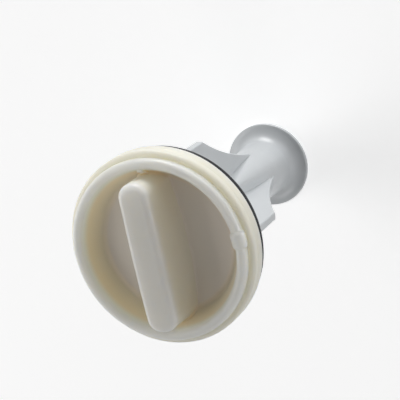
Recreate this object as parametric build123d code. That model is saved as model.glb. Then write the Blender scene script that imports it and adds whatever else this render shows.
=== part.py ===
"""Drain filter plug of a washing machine: a cap with a grip bar, a seal ring and a webbed filter insert."""
import os
from math import degrees, sqrt

from build123d import *

# Sizes are in millimetres and angles in degrees.
# The plug stands on the foot of its bell at z = 0, the cap faces up and the grip bar lies along X.

# Cap: rim and bowl
rim_height = 98.4
rim_radius = 30.95
rim_wall = 3.5
rim_step = 3.2
bowl_depth = 9.5
bowl_taper = 3.75
bowl_corner = 2.2
bowl_floor_wall = 2.2

# Cap: flange with a fine line round its edge
flange_overhang = 2.05
flange_depth = 6.6
flange_front_round = 1.3
flange_back_round = 0.6
flange_line_drop = 3.1
flange_line_width = 1.2
flange_line_depth = 0.3

# Cap: hollow neck behind the flange, with the seal's seat sunk in it and a snap bead inside
neck_inset = 2.25
neck_length = 8.0
neck_wall = 2.5
neck_edge = 0.4
seat_depth = 0.8
snap_rise = 0.5
snap_width = 1.6

# Cap: grip bar, straight along its top and bellied along its base
bar_proud = 7.6
bar_reach = 1.3
bar_width = 10.2
bar_belly = 2.4
bar_top_bow = 0.1
bar_corner = 4.7
bar_edge = 2.2
bar_foot_round = 0.6

# Cap: locating nub over the rim and the small rib in the bowl
nub_turn = -86.7
nub_span = 6.0
nub_rise = 0.7
nub_edge = 1.4
rib_width = 2.0
rib_rise = 0.7

# Seal ring
seal_section = 4.2
seal_clearance = 0.1

# Insert: base disc held in the neck
base_clearance = 0.2
base_thickness = 2.4

# Insert: four webs on a square core
web_count = 4
core_half = 6.8
core_corner = 1.4
web_turn = -7.4
web_clearance = 0.2
web_thickness = 2.8
web_straight = 26.0
web_corner = 1.6
web_foot_radius = 8.6
web_foot_height = 14.5
web_sweep = 2.0
web_root_round = 2.0
web_edge_round = 0.5

# Insert: hollow stem, square at its waist and round at its foot, and the bell below it
waist_height = 48.4
stem_foot_radius = 10.6
stem_foot_flat = 4.0
stem_wall = 2.0
stem_end_round = 2.0
flare_height = 6.9
bell_spread = 5.4
bell_lip = 1.8
bell_lip_round = 0.7
bell_foot_width = 2.4

# Levels and radii that follow from the sizes above
rim_round = rim_wall / 2
rim_inner_radius = rim_radius - rim_wall
rim_mid_radius = rim_radius - rim_round
rim_round_level = rim_height - rim_round
flange_radius = rim_radius + flange_overhang
flange_front = rim_height - rim_step
flange_back = flange_front - flange_depth
flange_line_level = flange_front - flange_line_drop
bowl_floor_radius = rim_inner_radius - bowl_taper
bowl_floor = rim_height - bowl_depth
bowl_back = bowl_floor - bowl_floor_wall
bar_length = 2 * (bowl_floor_radius + bar_reach)
bar_top = rim_height + bar_proud
neck_radius = rim_radius - neck_inset
seat_radius = neck_radius - seat_depth
seat_end = flange_back - seal_section - 2 * seal_clearance
neck_end = flange_back - neck_length
neck_inner_radius = neck_radius - neck_wall
base_radius = neck_inner_radius - base_clearance
base_under = bowl_back - base_thickness
core_reach = core_half * sqrt(2)
web_radius = neck_inner_radius - snap_rise - web_clearance
web_corner_level = base_under - web_straight
bell_radius = stem_foot_radius + bell_spread


def corner(section, radius, level):
    """The corner of a half section nearest to a radius and a level."""
    return section.vertices().sort_by_distance((radius, level, 0))[0]


def turned(section, angle=360.0):
    """A half section, drawn as radius and level, set upright and turned round the plug's axis."""
    return revolve(Plane.XZ * section, Axis.Z, revolution_arc=angle)


def cap_half_section():
    """Half section of the rim, bowl, flange, seal seat and hollow neck."""
    inside = Polyline(
        (rim_inner_radius, rim_round_level),
        (bowl_floor_radius, bowl_floor),
        (0, bowl_floor),
        (0, bowl_back),
        (neck_inner_radius, bowl_back),
        (neck_inner_radius, base_under),
        (neck_inner_radius - snap_rise, base_under - snap_width / 2),
        (neck_inner_radius, base_under - snap_width),
        (neck_inner_radius, neck_end),
        (neck_radius, neck_end),
    )
    outside = Polyline(
        (neck_radius, neck_end),
        (neck_radius, seat_end),
        (seat_radius, seat_end),
        (seat_radius, flange_back),
        (flange_radius, flange_back),
        (flange_radius, flange_line_level - flange_line_width / 2),
        (flange_radius - flange_line_depth, flange_line_level),
        (flange_radius, flange_line_level + flange_line_width / 2),
        (flange_radius, flange_front),
        (rim_radius, flange_front),
        (rim_radius, rim_round_level),
    )
    over_rim = ThreePointArc(
        (rim_radius, rim_round_level),
        (rim_mid_radius, rim_height),
        (rim_inner_radius, rim_round_level),
    )
    section = make_face(inside.edges() + outside.edges() + over_rim.edges())
    section = fillet(corner(section, bowl_floor_radius, bowl_floor), bowl_corner)
    section = fillet(corner(section, flange_radius, flange_front), flange_front_round)
    section = fillet(corner(section, flange_radius, flange_back), flange_back_round)
    section = fillet(corner(section, neck_radius, neck_end), neck_edge)
    return section


def bar_plan(bow, level):
    """Outline of the grip bar at one level, its sides bowed out and its corners rounded."""
    half_length = bar_length / 2
    half_end = bar_width / 2
    half_belly = half_end + bow
    sides = [
        ThreePointArc((-half_length, -half_end), (0, -half_belly), (half_length, -half_end)),
        Line((half_length, -half_end), (half_length, half_end)),
        ThreePointArc((half_length, half_end), (0, half_belly), (-half_length, half_end)),
        Line((-half_length, half_end), (-half_length, -half_end)),
    ]
    plan = make_face(sides)
    return Pos(0, 0, level) * fillet(plan.vertices(), bar_corner)


def make_grip_bar():
    """Grip bar lofted from its bellied base, sunk in the bowl's floor, to its straight top."""
    base = bar_plan(bar_belly, bowl_floor - bowl_floor_wall / 2)
    top = bar_plan(bar_top_bow, bar_top)
    bar = loft([base, top])
    return fillet(bar.faces().sort_by(Axis.Z)[-1].edges(), bar_edge)


def make_rim_nub():
    """Short saddle over the rim that marks how the plug is turned."""
    span = degrees(nub_span / rim_mid_radius)
    saddle = Pos(rim_mid_radius, rim_round_level) * Circle(rim_round + nub_rise)
    nub = turned(saddle, span)
    nub = fillet(nub.faces().filter_by(GeomType.PLANE).edges(), nub_edge)
    return Rot(0, 0, nub_turn - span / 2) * nub


def make_bowl_rib():
    """Small upright rib on the bowl's wall, in line with the grip bar."""
    rib = Polyline(
        (rim_inner_radius + rib_rise, rim_round_level),
        (rim_inner_radius - rib_rise, rim_round_level),
        (bowl_floor_radius - rib_rise, bowl_floor),
        (bowl_floor_radius + rib_rise, bowl_floor),
        (rim_inner_radius + rib_rise, rim_round_level),
    )
    return extrude(Plane.XZ * make_face(rib.edges()), rib_width / 2, both=True)


def make_cap():
    """Ivory cap, one moulding, with a soft edge where the bar meets the bowl."""
    dish = turned(cap_half_section())
    bar = make_grip_bar()
    gripped = dish + bar
    gripped = fillet(new_edges(dish, bar, combined=gripped), bar_foot_round)
    return gripped + make_rim_nub() + make_bowl_rib()


def make_seal_ring():
    """Rubber ring in the neck's seat, just behind the flange."""
    ring_radius = seat_radius + seal_clearance + seal_section / 2
    ring_level = flange_back - seal_clearance - seal_section / 2
    return Pos(0, 0, ring_level) * Torus(ring_radius, seal_section / 2)


def core_outline():
    """Square outline of the core with rounded corners."""
    return RectangleRounded(2 * core_half, 2 * core_half, core_corner)


def web_cross_section():
    """Cross of webs through the square core, with rounded roots and core corners."""
    core = core_outline()
    arm = Rectangle(2 * (web_radius + web_thickness), web_thickness)
    section = core
    for turn in range(web_count // 2):
        section += Rot(0, 0, turn * 360 / web_count) * arm
    roots = section.vertices().group_by(lambda v: Vector(v).length)[0]
    return fillet(roots, web_root_round)


def make_webs():
    """Webs and square core, cut to the sweep of the webs' lower edges, with rounded outer edges."""
    cross = extrude(Pos(0, 0, web_foot_height) * web_cross_section(), base_under - web_foot_height)
    sides = Polyline(
        (web_foot_radius, web_foot_height),
        (0, web_foot_height),
        (0, base_under),
        (web_radius, base_under),
        (web_radius, web_corner_level),
    )
    sweep = SagittaArc(
        (web_radius, web_corner_level),
        (web_foot_radius, web_foot_height),
        -web_sweep,
    )
    envelope = make_face(sides.edges() + sweep.edges())
    envelope = fillet(corner(envelope, web_radius, web_corner_level), web_corner)
    webs = cross & turned(envelope)
    rising = webs.edges().filter_by(lambda e: e.bounding_box().size.Z > web_edge_round)
    outer = rising.filter_by(lambda e: Vector(e.center().X, e.center().Y).length > core_reach)
    return Rot(0, 0, web_turn) * fillet(outer, web_edge_round)


def make_stem():
    """Stem below the waist, from the square core to a round foot."""
    quarter = 360 / web_count
    flats = [CenterArc((0, 0), stem_foot_radius, turn * quarter - stem_foot_flat / 2, stem_foot_flat)
             for turn in range(web_count)]
    rounds = [CenterArc((0, 0), stem_foot_radius, turn * quarter + stem_foot_flat / 2, quarter - stem_foot_flat)
              for turn in range(web_count)]
    foot = Pos(0, 0, flare_height) * make_face(flats + rounds)
    waist = Pos(0, 0, waist_height) * core_outline()
    return Rot(0, 0, web_turn) * loft([foot, waist], ruled=True)


def flare_start():
    """Direction of the stem's side where the flare begins, as radius and level."""
    return (stem_foot_radius - core_half, flare_height - waist_height)


def make_bell():
    """Bell that flares from the stem's foot to a rounded lip."""
    sides = Polyline(
        (bell_radius, bell_lip),
        (bell_radius, 0),
        (0, 0),
        (0, flare_height),
        (stem_foot_radius, flare_height),
    )
    flare = TangentArc((stem_foot_radius, flare_height), (bell_radius, bell_lip), tangent=flare_start())
    section = make_face(sides.edges() + flare.edges())
    section = fillet(corner(section, bell_radius, bell_lip), bell_lip_round)
    section = fillet(corner(section, bell_radius, 0), bell_lip_round)
    return turned(section)


def make_stem_hollow():
    """Round hollow of the stem, open at the bell's foot."""
    mouth_radius = bell_radius - bell_foot_width
    throat_radius = stem_foot_radius - stem_wall
    end_radius = core_half - stem_wall
    sides = Polyline(
        (mouth_radius, 0),
        (0, 0),
        (0, waist_height),
        (end_radius, waist_height),
        (throat_radius, flare_height),
    )
    mouth = TangentArc((throat_radius, flare_height), (mouth_radius, 0), tangent=flare_start())
    section = make_face(sides.edges() + mouth.edges())
    section = fillet(corner(section, end_radius, waist_height), stem_end_round)
    return turned(section)


def make_filter_insert():
    """Grey filter insert, one moulding."""
    base = Pos(0, 0, base_under) * Cylinder(
        base_radius, base_thickness, align=(Align.CENTER, Align.CENTER, Align.MIN)
    )
    return base + make_webs() + make_stem() + make_bell() - make_stem_hollow()


def main():
    """Write one STEP file for each piece."""
    os.makedirs("parts", exist_ok=True)
    pieces = {
        "cap": make_cap(),
        "seal_ring": make_seal_ring(),
        "filter_insert": make_filter_insert(),
    }
    for name, piece in pieces.items():
        export_step(piece, f"parts/{name}.step")


main()
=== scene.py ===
"""Looks of the drain filter plug: moulded cap, rubber seal ring, webbed insert, neck thread and stage."""
from math import radians, tau

import bmesh
import bpy
from bpy.props import FloatProperty, FloatVectorProperty, IntProperty, PointerProperty
from mathutils import Matrix, Vector


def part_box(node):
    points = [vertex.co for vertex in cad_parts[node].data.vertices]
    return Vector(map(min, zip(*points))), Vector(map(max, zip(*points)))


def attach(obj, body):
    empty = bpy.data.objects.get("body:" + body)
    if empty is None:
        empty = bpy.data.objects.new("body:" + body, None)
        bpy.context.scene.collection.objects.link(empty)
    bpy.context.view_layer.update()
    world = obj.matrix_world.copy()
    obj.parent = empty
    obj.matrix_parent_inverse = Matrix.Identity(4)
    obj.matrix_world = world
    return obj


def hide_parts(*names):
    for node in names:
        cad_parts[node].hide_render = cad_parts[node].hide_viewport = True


bl_info = {
    "name": "Drain Filter Plug",
    "version": (1, 0, 0),
    "blender": (4, 5, 0),
    "location": "View3D > Sidebar > Filter Plug",
    "description": "Dresses the drain filter plug and sets its stage",
    "category": "Object",
}

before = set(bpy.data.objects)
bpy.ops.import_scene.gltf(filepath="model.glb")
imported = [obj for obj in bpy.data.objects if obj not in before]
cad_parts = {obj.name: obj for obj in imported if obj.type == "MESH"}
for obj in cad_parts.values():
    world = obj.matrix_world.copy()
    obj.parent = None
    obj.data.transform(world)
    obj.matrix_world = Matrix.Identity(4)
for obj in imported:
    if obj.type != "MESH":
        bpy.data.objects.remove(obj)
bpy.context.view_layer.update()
cap_low, cap_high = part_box("cap")

# Slope of the bowl's wall, as radius over level
wall_slope = 0.484

# Places on the cap where light and shade are painted into the colour, as bands: measure, low end, high end
# and soft edge in metres
cap_painted_light_places = {
    "rim": (("radius", 0.0268, 0.0400, 0.0008), ("level", 0.0945, 0.1100, 0.0015)),
    "flange": (("radius", 0.0302, 0.0400, 0.0008), ("level", 0.0800, 0.0950, 0.0010)),
    "floor": (("radius", -1, 0.0225, 0.0020), ("level", 0.0884, 0.0897, 0.0012)),
    "side": (("radius", -1, 0.0252, 0.0010), ("level", 0.0900, 0.1020, 0.0025)),
    "wall": (("lean", -0.0194, -0.0185, 0.0018), ("level", 0.0884, 0.0945, 0.0024)),
}

# Colour in the mottle of the cap and the seal ring, as a share of their own colour
cap_mottle_share = 0.965
seal_mottle_share = 1.5

# Soft lamps round the plug, named by the side of the picture: power in watts and place in metres
soft_lamps = {
    "top": (21.0, (1.59, 0.09, -0.49)),
    "left_low": (8.0, (0.0, 1.59, -0.49)),
    "left": (4.5, (0.0, 1.62, 0.50)),
    "right": (13.0, (0.0, -1.59, -0.49)),
    "right_top": (3.0, (1.17, -1.17, 0.20)),
    "under": (3.1, (-1.62, 0.0, 0.50)),
    "front_left": (5.6, (0.12, 1.32, 1.40)),
}


class PlugFinish(bpy.types.PropertyGroup):
    """Colours and surface values of the three mouldings"""

    cap_colour: FloatVectorProperty(
        name="Cap ivory", description="Colour of the cap's plastic",
        default=(0.89, 0.872, 0.82), subtype="COLOR", min=0, max=1)
    # Painted light: the rim is tinted a brighter ivory where light falls on it and glows through its thin
    # edge.
    cap_rim_painted_light: FloatVectorProperty(
        name="Rim ivory", description="Brighter ivory of the rim",
        default=(0.95, 0.932, 0.84), subtype="COLOR", min=0, max=1)
    # Painted glow: the flange is tinted a deeper ivory for the light passing through the thick plastic.
    cap_flange_painted_glow: FloatVectorProperty(
        name="Flange ivory", description="Deeper ivory of the thick flange",
        default=(0.92, 0.87, 0.73), subtype="COLOR", min=0, max=1)
    cap_wall_colour: FloatVectorProperty(
        name="Bowl wall tan", description="Tan glow of the light that comes through the bowl's thin wall",
        default=(0.96, 0.82, 0.64), subtype="COLOR", min=0, max=1)
    # Painted shade: the bowl's floor is tinted a darker, warmer ivory for the shade in the recess.
    cap_floor_painted_shade: FloatVectorProperty(
        name="Bowl floor", description="Warmer ivory of the bowl's floor",
        default=(0.82, 0.705, 0.66), subtype="COLOR", min=0, max=1)
    # Painted shade and glow: the grip bar's sides are tinted a yellower ivory for their shade and the warm
    # light through them.
    cap_side_painted_light: FloatVectorProperty(
        name="Bar sides", description="Yellower ivory of the grip bar's sides",
        default=(0.88, 0.85, 0.74), subtype="COLOR", min=0, max=1)
    cap_roughness: FloatProperty(
        name="Cap roughness", description="Mean roughness of the cap",
        default=0.38, min=0, max=1, subtype="FACTOR")
    cap_glow: FloatProperty(
        name="Cap glow", description="Share of light that spreads under the cap's skin",
        default=1.0, min=0, max=1, subtype="FACTOR")
    floor_glow: FloatProperty(
        name="Bowl floor glow", description="Share of light that spreads under the bowl floor's skin",
        default=0.25, min=0, max=1, subtype="FACTOR")
    cap_glow_depth: FloatProperty(
        name="Cap glow depth", description="How far the light spreads in the cap",
        default=0.007, unit="LENGTH", precision=5)
    cap_glow_spread: FloatVectorProperty(
        name="Cap glow spread", description="How far red, green and blue light spread, next to each other",
        default=(1.0, 0.95, 0.85), min=0)
    insert_colour: FloatVectorProperty(
        name="Insert grey", description="Colour of the insert's plastic",
        default=(0.57, 0.594, 0.61), subtype="COLOR", min=0, max=1)
    insert_dark_colour: FloatVectorProperty(
        name="Insert shade", description="Cooler grey in the insert's flow marks",
        default=(0.535, 0.56, 0.58), subtype="COLOR", min=0, max=1)
    insert_roughness: FloatProperty(
        name="Insert roughness", description="Mean roughness of the insert",
        default=0.31, min=0, max=1, subtype="FACTOR")
    seal_colour: FloatVectorProperty(
        name="Seal black", description="Colour of the rubber ring",
        default=(0.022, 0.022, 0.024), subtype="COLOR", min=0, max=1)
    seal_roughness: FloatProperty(
        name="Seal roughness", description="Mean roughness of the rubber ring",
        default=0.55, min=0, max=1, subtype="FACTOR")
    merge_distance: FloatProperty(
        name="Merge distance", description="Corners closer than this become one",
        default=0.000002, unit="LENGTH", precision=6)
    crease_angle: FloatProperty(
        name="Crease angle", description="Edges sharper than this stay sharp in the shading",
        default=radians(33), subtype="ANGLE")


class PlugThread(bpy.types.PropertyGroup):
    """Sizes of the locking thread on the neck"""

    root_radius: FloatProperty(
        name="Neck radius", description="Radius of the neck under the thread",
        default=0.0287, unit="LENGTH", precision=5)
    start_level: FloatProperty(
        name="Start level", description="Height of the thread's lower end",
        default=0.0819, unit="LENGTH", precision=5)
    rise: FloatProperty(
        name="Rise", description="How far the crest stands out from the neck",
        default=0.0006, unit="LENGTH", precision=5)
    sink: FloatProperty(
        name="Sink", description="How far the foot runs into the neck",
        default=0.0003, unit="LENGTH", precision=5)
    foot_width: FloatProperty(
        name="Foot width", description="Width of the thread at the neck",
        default=0.0013, unit="LENGTH", precision=5)
    crest_width: FloatProperty(
        name="Crest width", description="Width of the thread at its crest",
        default=0.0006, unit="LENGTH", precision=5)
    pitch: FloatProperty(
        name="Pitch", description="Climb of the thread in one turn",
        default=0.0017, unit="LENGTH", precision=5)
    turn: FloatProperty(
        name="Turn", description="How far the thread goes round the neck",
        default=radians(330), subtype="ANGLE")
    steps: IntProperty(
        name="Steps", description="Number of steps along the thread",
        default=120, min=12)
    merge_distance: FloatProperty(
        name="Merge distance", description="Corners of the thread closer than this become one",
        default=0.000001, unit="LENGTH", precision=6)
    crease_angle: FloatProperty(
        name="Crease angle", description="Edges of the thread sharper than this stay sharp in the shading",
        default=radians(60), subtype="ANGLE")


class PlugStage(bpy.types.PropertyGroup):
    """Floor, lamps, surroundings and camera"""

    floor_size: FloatProperty(
        name="Floor size", description="Side of the square floor",
        default=4.0, unit="LENGTH")
    floor_colour: FloatVectorProperty(
        name="Floor colour", description="Colour of the pale floor",
        default=(0.82, 0.82, 0.82), subtype="COLOR", min=0, max=1)
    floor_lift: FloatProperty(
        name="Floor lift", description="Share of plain white that the camera sees on the floor",
        default=0.60, min=0, max=1, subtype="FACTOR")
    room_light: FloatProperty(
        name="Room light", description="Strength of the even light all round",
        default=0.20, min=0)
    lamp_level: FloatProperty(
        name="Lamp level", description="Share of their written power that the soft lamps give",
        default=1.0, min=0)
    lamp_size: FloatProperty(
        name="Lamp size", description="Side of each soft lamp",
        default=0.90, unit="LENGTH")
    camera_place: FloatVectorProperty(
        name="Camera place", description="Where the camera stands",
        default=(0.121927, -0.217945, 0.471649), subtype="XYZ", unit="LENGTH")
    camera_right: FloatVectorProperty(
        name="Camera right", description="Direction of the picture's right side",
        default=(-0.214195, -0.886612, -0.409927), subtype="DIRECTION")
    camera_up: FloatVectorProperty(
        name="Camera up", description="Direction of the picture's top",
        default=(0.946119, -0.083976, -0.312740), subtype="DIRECTION")
    camera_lens: FloatProperty(
        name="Lens", description="Focal length in millimetres on a 36 mm sensor",
        default=126.0, min=1)


def place_nodes(tree, kinds):
    """Adds named nodes to a tree from a table of name, node type and place."""
    placed = {}
    for name, (kind, x, y) in kinds.items():
        node = tree.nodes.new(kind)
        node.name = name
        node.location = (x, y)
        placed[name] = node
    return placed


def new_group(name, inputs, outputs):
    """A shader node group with named sockets."""
    tree = bpy.data.node_groups.new(name, "ShaderNodeTree")
    for socket, kind in inputs:
        tree.interface.new_socket(socket, in_out="INPUT", socket_type=kind)
    for socket, kind in outputs:
        tree.interface.new_socket(socket, in_out="OUTPUT", socket_type=kind)
    return tree


def moulded_skin_group():
    """Soft mottle, flow marks and fine grain of a moulded plastic or rubber skin."""
    found = bpy.data.node_groups.get("moulded_skin")
    if found:
        return found
    tree = new_group(
        "moulded_skin",
        [("Light Colour", "NodeSocketColor"), ("Deep Colour", "NodeSocketColor"),
         ("Roughness", "NodeSocketFloat"), ("Mottle Scale", "NodeSocketFloat"),
         ("Grain Scale", "NodeSocketFloat")],
        [("Colour", "NodeSocketColor"), ("Roughness", "NodeSocketFloat"), ("Grain", "NodeSocketFloat")],
    )
    n = place_nodes(tree, {
        "in": ("NodeGroupInput", -800, 0),
        "out": ("NodeGroupOutput", 600, 0),
        "coords": ("ShaderNodeTexCoord", -800, 300),
        "mottle": ("ShaderNodeTexNoise", -500, 300),
        "grain": ("ShaderNodeTexNoise", -500, 0),
        "spread": ("ShaderNodeMapRange", -250, 300),
        "colour": ("ShaderNodeMix", 100, 300),
        "rough": ("ShaderNodeMapRange", -250, 0),
        "sum": ("ShaderNodeMath", 100, 0),
    })
    n["mottle"].inputs["Detail"].default_value = 4
    n["grain"].inputs["Detail"].default_value = 2
    n["spread"].inputs["From Min"].default_value = 0.35
    n["spread"].inputs["From Max"].default_value = 0.7
    n["rough"].inputs["To Min"].default_value = -0.05
    n["rough"].inputs["To Max"].default_value = 0.07
    n["colour"].data_type = "RGBA"
    links = tree.links
    links.new(n["coords"].outputs["Object"], n["mottle"].inputs["Vector"])
    links.new(n["coords"].outputs["Object"], n["grain"].inputs["Vector"])
    links.new(n["in"].outputs["Mottle Scale"], n["mottle"].inputs["Scale"])
    links.new(n["in"].outputs["Grain Scale"], n["grain"].inputs["Scale"])
    links.new(n["mottle"].outputs["Fac"], n["spread"].inputs["Value"])
    links.new(n["spread"].outputs["Result"], n["colour"].inputs["Factor"])
    links.new(n["in"].outputs["Light Colour"], n["colour"].inputs["A"])
    links.new(n["in"].outputs["Deep Colour"], n["colour"].inputs["B"])
    links.new(n["mottle"].outputs["Fac"], n["rough"].inputs["Value"])
    links.new(n["in"].outputs["Roughness"], n["sum"].inputs[0])
    links.new(n["rough"].outputs["Result"], n["sum"].inputs[1])
    links.new(n["colour"].outputs["Result"], n["out"].inputs["Colour"])
    links.new(n["sum"].outputs["Value"], n["out"].inputs["Roughness"])
    links.new(n["grain"].outputs["Fac"], n["out"].inputs["Grain"])
    return tree


def band_group():
    """Mask that is one between two values of a measure, with soft edges."""
    found = bpy.data.node_groups.get("soft_band")
    if found:
        return found
    tree = new_group(
        "soft_band",
        [("Measure", "NodeSocketFloat"), ("Low", "NodeSocketFloat"),
         ("High", "NodeSocketFloat"), ("Softness", "NodeSocketFloat")],
        [("Mask", "NodeSocketFloat")],
    )
    n = place_nodes(tree, {
        "in": ("NodeGroupInput", -700, 0),
        "out": ("NodeGroupOutput", 500, 0),
        "low_edge": ("ShaderNodeMath", -400, 200),
        "high_edge": ("ShaderNodeMath", -400, -200),
        "rise": ("ShaderNodeMapRange", -100, 200),
        "fall": ("ShaderNodeMapRange", -100, -200),
        "both": ("ShaderNodeMath", 250, 0),
    })
    n["low_edge"].operation = "SUBTRACT"
    n["high_edge"].operation = "ADD"
    n["both"].operation = "MULTIPLY"
    for name in ("rise", "fall"):
        n[name].interpolation_type = "SMOOTHSTEP"
    n["fall"].inputs["To Min"].default_value = 1
    n["fall"].inputs["To Max"].default_value = 0
    links = tree.links
    links.new(n["in"].outputs["Low"], n["low_edge"].inputs[0])
    links.new(n["in"].outputs["Softness"], n["low_edge"].inputs[1])
    links.new(n["in"].outputs["High"], n["high_edge"].inputs[0])
    links.new(n["in"].outputs["Softness"], n["high_edge"].inputs[1])
    links.new(n["in"].outputs["Measure"], n["rise"].inputs["Value"])
    links.new(n["low_edge"].outputs["Value"], n["rise"].inputs["From Min"])
    links.new(n["in"].outputs["Low"], n["rise"].inputs["From Max"])
    links.new(n["in"].outputs["Measure"], n["fall"].inputs["Value"])
    links.new(n["in"].outputs["High"], n["fall"].inputs["From Min"])
    links.new(n["high_edge"].outputs["Value"], n["fall"].inputs["From Max"])
    links.new(n["rise"].outputs["Result"], n["both"].inputs[0])
    links.new(n["fall"].outputs["Result"], n["both"].inputs[1])
    links.new(n["both"].outputs["Value"], n["out"].inputs["Mask"])
    return tree


def plastic_material(name, light, deep, roughness, mottle_scale, grain_scale, bump, specular):
    """A moulded material: the skin group feeds one Principled shader and its bump."""
    made = bpy.data.materials.new(name)
    made.use_nodes = True
    tree = made.node_tree
    tree.nodes.clear()
    n = place_nodes(tree, {
        "skin": ("ShaderNodeGroup", -600, 0),
        "bump": ("ShaderNodeBump", -200, -250),
        "shader": ("ShaderNodeBsdfPrincipled", 200, 0),
        "out": ("ShaderNodeOutputMaterial", 500, 0),
    })
    n["skin"].node_tree = moulded_skin_group()
    n["skin"].inputs["Light Colour"].default_value = (*light, 1)
    n["skin"].inputs["Deep Colour"].default_value = (*deep, 1)
    n["skin"].inputs["Roughness"].default_value = roughness
    n["skin"].inputs["Mottle Scale"].default_value = mottle_scale
    n["skin"].inputs["Grain Scale"].default_value = grain_scale
    n["bump"].inputs["Strength"].default_value = bump
    n["bump"].inputs["Distance"].default_value = 0.0001
    n["shader"].inputs["Specular IOR Level"].default_value = specular
    links = tree.links
    links.new(n["skin"].outputs["Colour"], n["shader"].inputs["Base Color"])
    links.new(n["skin"].outputs["Roughness"], n["shader"].inputs["Roughness"])
    links.new(n["skin"].outputs["Grain"], n["bump"].inputs["Height"])
    links.new(n["bump"].outputs["Normal"], n["shader"].inputs["Normal"])
    links.new(n["shader"].outputs["BSDF"], n["out"].inputs["Surface"])
    return made


def tint_by_place(material, colour, bands):
    """Mixes a colour into a material's base colour where every band holds, and gives that place's mask.

    A band's measure is the radius from the axis, the level, or the lean, which is the radius less the
    level times the bowl wall's slope.
    """
    tree = material.node_tree
    shader = tree.nodes["shader"]
    below = shader.inputs["Base Color"].links[0].from_socket
    n = {}
    for key, kind in (("coords", "ShaderNodeTexCoord"), ("axes", "ShaderNodeSeparateXYZ"),
                      ("flat", "ShaderNodeCombineXYZ"), ("radius", "ShaderNodeVectorMath"),
                      ("lean", "ShaderNodeMath"), ("mix", "ShaderNodeMix")):
        n[key] = tree.nodes.new(kind)
    n["radius"].operation = "LENGTH"
    n["lean"].operation = "MULTIPLY_ADD"
    n["lean"].inputs[1].default_value = -wall_slope
    n["mix"].data_type = "RGBA"
    links = tree.links
    links.new(n["coords"].outputs["Object"], n["axes"].inputs["Vector"])
    links.new(n["axes"].outputs["X"], n["flat"].inputs["X"])
    links.new(n["axes"].outputs["Y"], n["flat"].inputs["Y"])
    links.new(n["flat"].outputs["Vector"], n["radius"].inputs[0])
    links.new(n["axes"].outputs["Z"], n["lean"].inputs[0])
    links.new(n["radius"].outputs["Value"], n["lean"].inputs[2])
    measures = {"radius": n["radius"].outputs["Value"], "level": n["axes"].outputs["Z"],
                "lean": n["lean"].outputs["Value"]}
    mask = None
    for measure, low, high, softness in bands:
        band = tree.nodes.new("ShaderNodeGroup")
        band.node_tree = band_group()
        band.inputs["Low"].default_value = low
        band.inputs["High"].default_value = high
        band.inputs["Softness"].default_value = softness
        links.new(measures[measure], band.inputs["Measure"])
        if mask is None:
            mask = band.outputs["Mask"]
        else:
            product = tree.nodes.new("ShaderNodeMath")
            product.operation = "MULTIPLY"
            links.new(mask, product.inputs[0])
            links.new(band.outputs["Mask"], product.inputs[1])
            mask = product.outputs["Value"]
    links.new(mask, n["mix"].inputs["Factor"])
    links.new(below, n["mix"].inputs["A"])
    n["mix"].inputs["B"].default_value = (*colour, 1)
    links.new(n["mix"].outputs["Result"], shader.inputs["Base Color"])
    return mask


def new_piece(name, mesh, material):
    """Links a finished mesh as a piece of the plug."""
    piece = bpy.data.objects.new(name, mesh)
    bpy.context.scene.collection.objects.link(piece)
    mesh.materials.clear()
    mesh.materials.append(material)
    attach(piece, "root")
    return piece


def smooth_twin(node, name, material, finish):
    """A merged, smoothly shaded twin of a solid, which stands for it."""
    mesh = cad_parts[node].data.copy()
    mesh.name = name
    if "custom_normal" in mesh.attributes:
        mesh.attributes.remove(mesh.attributes["custom_normal"])
    work = bmesh.new()
    work.from_mesh(mesh)
    bmesh.ops.remove_doubles(work, verts=work.verts, dist=finish.merge_distance)
    for face in work.faces:
        face.smooth = True
    work.to_mesh(mesh)
    work.free()
    mesh.set_sharp_from_angle(angle=finish.crease_angle)
    piece = new_piece(name, mesh, material)
    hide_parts(node)
    weighted = piece.modifiers.new("weighted_normals", "WEIGHTED_NORMAL")
    weighted.keep_sharp = True
    return piece


def cap_material(finish):
    """Ivory plastic with light, shade and glow painted into its colour at each place on the cap, and less
    glow on the bowl's floor.
    """
    found = bpy.data.materials.get("ivory_cap_plastic")
    if found:
        return found
    base = Vector(finish.cap_colour)
    made = plastic_material(
        "ivory_cap_plastic", base, base * cap_mottle_share, finish.cap_roughness,
        mottle_scale=90, grain_scale=2600, bump=0.05, specular=0.45)
    # Painted light and shade: each place on the one-colour cap gets its own tint for the light, shade and
    # glow that fall there.
    painted_light_tints = {
        "rim": finish.cap_rim_painted_light,
        "flange": finish.cap_flange_painted_glow,
        "floor": finish.cap_floor_painted_shade,
        "side": finish.cap_side_painted_light,
        "wall": finish.cap_wall_colour,
    }
    painted_light_masks = {place: tint_by_place(made, colour, cap_painted_light_places[place]) for place, colour in painted_light_tints.items()}
    tree = made.node_tree
    shader = tree.nodes["shader"]
    glow = tree.nodes.new("ShaderNodeMapRange")
    glow.inputs["To Min"].default_value = finish.cap_glow
    glow.inputs["To Max"].default_value = finish.floor_glow
    tree.links.new(painted_light_masks["floor"], glow.inputs["Value"])
    tree.links.new(glow.outputs["Result"], shader.inputs["Subsurface Weight"])
    shader.inputs["Subsurface Scale"].default_value = finish.cap_glow_depth
    shader.inputs["Subsurface Radius"].default_value = finish.cap_glow_spread
    return made


class PLUG_OT_dress_cap(bpy.types.Operator):
    """Dresses the cap in ivory plastic"""

    bl_idname = "plug.dress_cap"
    bl_label = "Dress Cap"

    def execute(self, context):
        finish = context.scene.plug_finish
        smooth_twin("cap", "cap_moulding", cap_material(finish), finish)
        return {"FINISHED"}


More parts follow.
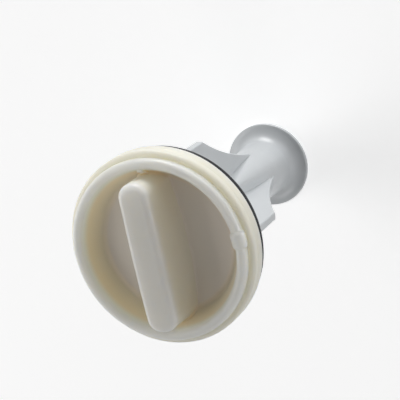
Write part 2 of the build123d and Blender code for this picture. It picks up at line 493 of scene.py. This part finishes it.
class PLUG_OT_wind_thread(bpy.types.Operator):
    """Winds the locking thread round the neck"""

    bl_idname = "plug.wind_thread"
    bl_label = "Wind Thread"

    def execute(self, context):
        thread = context.scene.plug_thread
        foot = thread.root_radius - thread.sink
        crest = thread.root_radius + thread.rise
        work = bmesh.new()
        corners = [
            work.verts.new((foot, 0, thread.start_level - thread.foot_width / 2)),
            work.verts.new((crest, 0, thread.start_level - thread.crest_width / 2)),
            work.verts.new((crest, 0, thread.start_level + thread.crest_width / 2)),
            work.verts.new((foot, 0, thread.start_level + thread.foot_width / 2)),
        ]
        start = work.faces.new(corners)
        climb = thread.pitch * thread.turn / tau / thread.steps
        swept = bmesh.ops.spin(
            work, geom=[start], cent=(0, 0, 0), axis=(0, 0, 1), dvec=(0, 0, climb),
            angle=thread.turn, steps=thread.steps, use_merge=False, use_duplicate=False)
        ends = [[v for v in swept["geom_last"] if isinstance(v, bmesh.types.BMVert)], corners]
        for end in ends:
            for vert in end:
                reach = Vector((vert.co.x, vert.co.y, 0))
                vert.co -= reach.normalized() * max(0, reach.length - foot)
        bmesh.ops.remove_doubles(work, verts=work.verts, dist=thread.merge_distance)
        bmesh.ops.recalc_face_normals(work, faces=work.faces)
        mesh = bpy.data.meshes.new("neck_thread")
        for face in work.faces:
            face.smooth = True
        work.to_mesh(mesh)
        work.free()
        mesh.set_sharp_from_angle(angle=thread.crease_angle)
        new_piece("neck_thread", mesh, cap_material(context.scene.plug_finish))
        return {"FINISHED"}


class PLUG_OT_dress_seal(bpy.types.Operator):
    """Dresses the seal ring in black rubber"""

    bl_idname = "plug.dress_seal"
    bl_label = "Dress Seal Ring"

    def execute(self, context):
        finish = context.scene.plug_finish
        base = Vector(finish.seal_colour)
        rubber = plastic_material(
            "black_seal_rubber", base, base * seal_mottle_share, finish.seal_roughness,
            mottle_scale=160, grain_scale=1800, bump=0.2, specular=0.2)
        smooth_twin("seal_ring", "seal_rubber_ring", rubber, finish)
        return {"FINISHED"}


class PLUG_OT_dress_insert(bpy.types.Operator):
    """Dresses the insert in cool grey plastic"""

    bl_idname = "plug.dress_insert"
    bl_label = "Dress Insert"

    def execute(self, context):
        finish = context.scene.plug_finish
        grey = plastic_material(
            "grey_insert_plastic", finish.insert_colour, finish.insert_dark_colour,
            finish.insert_roughness, mottle_scale=55, grain_scale=2400, bump=0.05, specular=1.0)
        smooth_twin("filter_insert", "insert_moulding", grey, finish)
        return {"FINISHED"}


def seen_rays(tree):
    """One for camera, glossy and transmission rays, and zero for the light that falls on the plug."""
    n = place_nodes(tree, {
        "path": ("ShaderNodeLightPath", -1000, 300),
        "seen": ("ShaderNodeMath", -750, 300),
        "seen_all": ("ShaderNodeMath", -500, 300),
    })
    n["seen"].operation = "MAXIMUM"
    n["seen_all"].operation = "MAXIMUM"
    links = tree.links
    links.new(n["path"].outputs["Is Camera Ray"], n["seen"].inputs[0])
    links.new(n["path"].outputs["Is Glossy Ray"], n["seen"].inputs[1])
    links.new(n["seen"].outputs["Value"], n["seen_all"].inputs[0])
    links.new(n["path"].outputs["Is Transmission Ray"], n["seen_all"].inputs[1])
    return n["seen_all"].outputs["Value"]


def lay_floor(stage):
    """Pale floor that shows the plug's shadow and lets the light of the low lamps through."""
    work = bmesh.new()
    bmesh.ops.create_grid(work, x_segments=1, y_segments=1, size=stage.floor_size / 2)
    mesh = bpy.data.meshes.new("floor")
    work.to_mesh(mesh)
    work.free()
    floor = bpy.data.objects.new("floor", mesh)
    bpy.context.scene.collection.objects.link(floor)
    made = bpy.data.materials.new("pale_floor")
    made.use_nodes = True
    tree = made.node_tree
    tree.nodes.clear()
    n = place_nodes(tree, {
        "lift": ("ShaderNodeMath", -250, 300),
        "white": ("ShaderNodeEmission", 0, 300),
        "plain": ("ShaderNodeBsdfDiffuse", 0, 0),
        "both": ("ShaderNodeAddShader", 250, 100),
        "out": ("ShaderNodeOutputMaterial", 500, 100),
    })
    n["plain"].inputs["Color"].default_value = (*stage.floor_colour, 1)
    n["lift"].operation = "MULTIPLY"
    n["lift"].inputs[1].default_value = stage.floor_lift
    tree.links.new(seen_rays(tree), n["lift"].inputs[0])
    tree.links.new(n["lift"].outputs["Value"], n["white"].inputs["Strength"])
    tree.links.new(n["plain"].outputs["BSDF"], n["both"].inputs[0])
    tree.links.new(n["white"].outputs["Emission"], n["both"].inputs[1])
    tree.links.new(n["both"].outputs["Shader"], n["out"].inputs["Surface"])
    mesh.materials.append(made)
    floor.visible_shadow = False


def hang_lamp(name, power, place, size, aim):
    """A square soft lamp that faces a point."""
    lamp = bpy.data.lights.new(name, "AREA")
    lamp.energy = power
    lamp.size = size
    holder = bpy.data.objects.new(name, lamp)
    holder.location = place
    holder.rotation_mode = "QUATERNION"
    holder.rotation_quaternion = (aim - Vector(place)).to_track_quat("-Z", "Y")
    bpy.context.scene.collection.objects.link(holder)


def light_room(stage):
    """Even light all round, with plain white in what the camera and the gloss see past the floor."""
    world = bpy.data.worlds.new("studio")
    bpy.context.scene.world = world
    world.use_nodes = True
    tree = world.node_tree
    tree.nodes.clear()
    n = place_nodes(tree, {
        "strength": ("ShaderNodeMapRange", -250, 200),
        "back": ("ShaderNodeBackground", 0, 0),
        "out": ("ShaderNodeOutputWorld", 250, 0),
    })
    n["back"].inputs["Color"].default_value = (1, 1, 1, 1)
    n["strength"].inputs["To Min"].default_value = stage.room_light
    n["strength"].inputs["To Max"].default_value = 1
    tree.links.new(seen_rays(tree), n["strength"].inputs["Value"])
    tree.links.new(n["strength"].outputs["Result"], n["back"].inputs["Strength"])
    tree.links.new(n["back"].outputs["Background"], n["out"].inputs["Surface"])


def stand_camera(stage):
    """Camera at the photograph's viewing angle."""
    lens = bpy.data.cameras.new("camera")
    lens.lens = stage.camera_lens
    lens.sensor_width = 36
    lens.clip_start = 0.01
    camera = bpy.data.objects.new("camera", lens)
    right = Vector(stage.camera_right).normalized()
    back = right.cross(Vector(stage.camera_up)).normalized()
    up = back.cross(right)
    turn = Matrix((right, up, back)).transposed()
    camera.matrix_world = Matrix.Translation(stage.camera_place) @ turn.to_4x4()
    bpy.context.scene.collection.objects.link(camera)
    bpy.context.scene.camera = camera


class PLUG_OT_set_stage(bpy.types.Operator):
    """Lays the floor, hangs the lamps and stands the camera"""

    bl_idname = "plug.set_stage"
    bl_label = "Set Stage"

    def execute(self, context):
        stage = context.scene.plug_stage
        aim = Vector((0, 0, (cap_low.z + cap_high.z) / 2))
        lay_floor(stage)
        for name, (power, place) in soft_lamps.items():
            hang_lamp(name, power * stage.lamp_level, place, stage.lamp_size, aim)
        light_room(stage)
        stand_camera(stage)
        context.scene.view_settings.view_transform = "Standard"
        return {"FINISHED"}


class PLUG_PT_sidebar(bpy.types.Panel):
    """Lists the plug's operators and settings"""

    bl_idname = "PLUG_PT_sidebar"
    bl_label = "Filter Plug"
    bl_space_type = "VIEW_3D"
    bl_region_type = "UI"
    bl_category = "Filter Plug"

    def draw(self, context):
        for operator in operators:
            self.layout.operator(operator.bl_idname)
        for group in (context.scene.plug_finish, context.scene.plug_thread, context.scene.plug_stage):
            box = self.layout.box()
            for name in group.__annotations__:
                box.prop(group, name)


operators = (
    PLUG_OT_dress_cap,
    PLUG_OT_wind_thread,
    PLUG_OT_dress_seal,
    PLUG_OT_dress_insert,
    PLUG_OT_set_stage,
)
classes = (PlugFinish, PlugThread, PlugStage, *operators, PLUG_PT_sidebar)


def register():
    """Registers the classes and hangs the settings on the scene."""
    for item in classes:
        bpy.utils.register_class(item)
    bpy.types.Scene.plug_finish = PointerProperty(type=PlugFinish)
    bpy.types.Scene.plug_thread = PointerProperty(type=PlugThread)
    bpy.types.Scene.plug_stage = PointerProperty(type=PlugStage)


def unregister():
    """Takes the settings and classes away again."""
    del bpy.types.Scene.plug_stage
    del bpy.types.Scene.plug_thread
    del bpy.types.Scene.plug_finish
    for item in reversed(classes):
        bpy.utils.unregister_class(item)


def main():
    """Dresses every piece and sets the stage."""
    register()
    bpy.ops.plug.dress_cap()
    bpy.ops.plug.wind_thread()
    bpy.ops.plug.dress_seal()
    bpy.ops.plug.dress_insert()
    bpy.ops.plug.set_stage()


if __name__ == "__main__":
    main()
